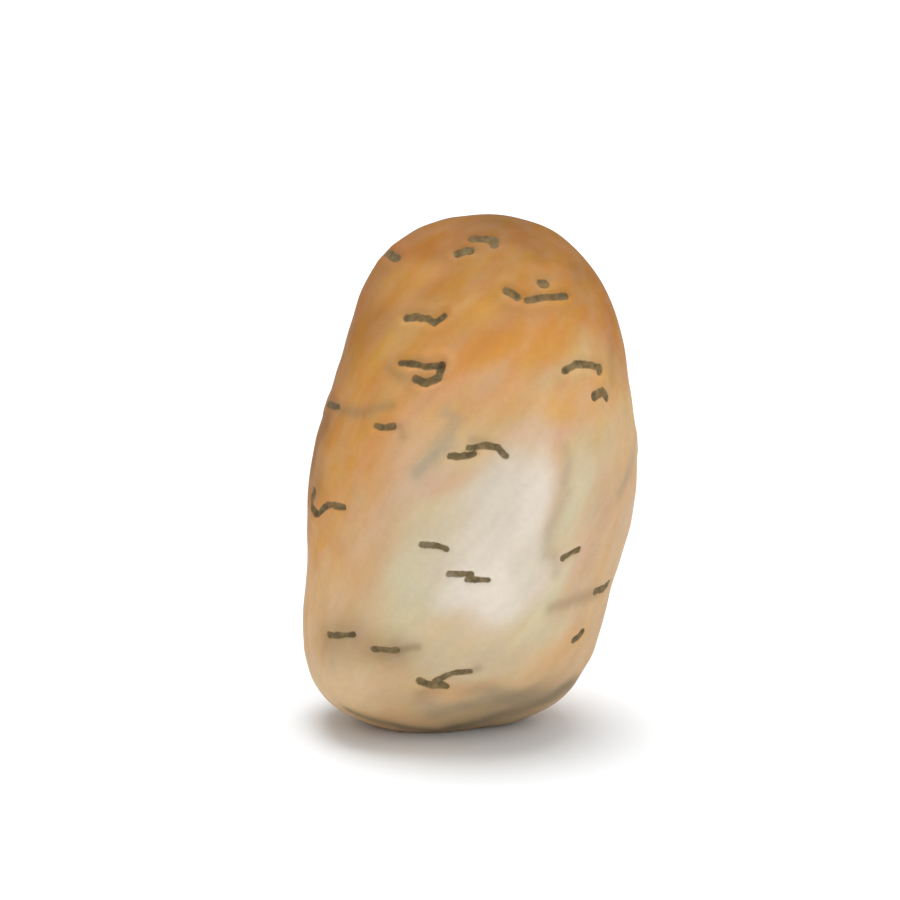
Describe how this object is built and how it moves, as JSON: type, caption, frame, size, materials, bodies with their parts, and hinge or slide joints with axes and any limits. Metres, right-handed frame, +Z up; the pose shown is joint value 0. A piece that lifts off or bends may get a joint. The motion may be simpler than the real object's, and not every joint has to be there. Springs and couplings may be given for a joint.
{
  "type": "potato",
  "caption": "Whole unpeeled potato, an oval tuber with a blunt foot, shallow eyes and a flattened spot on its broad end, so it stands upright.",
  "frame": {"origin": "on the floor, under the middle of the potato's box", "axes": "+Z up along the potato's length; -Y the front, with the pale belly; +X the right, towards which the crown leans"},
  "size_m": [0.0679, 0.0576, 0.1048],
  "materials": {
    "potato_skin": "matte"
  },
  "bodies": {
    "root": {"potato": "potato_skin"}
  },
  "joints": []
}
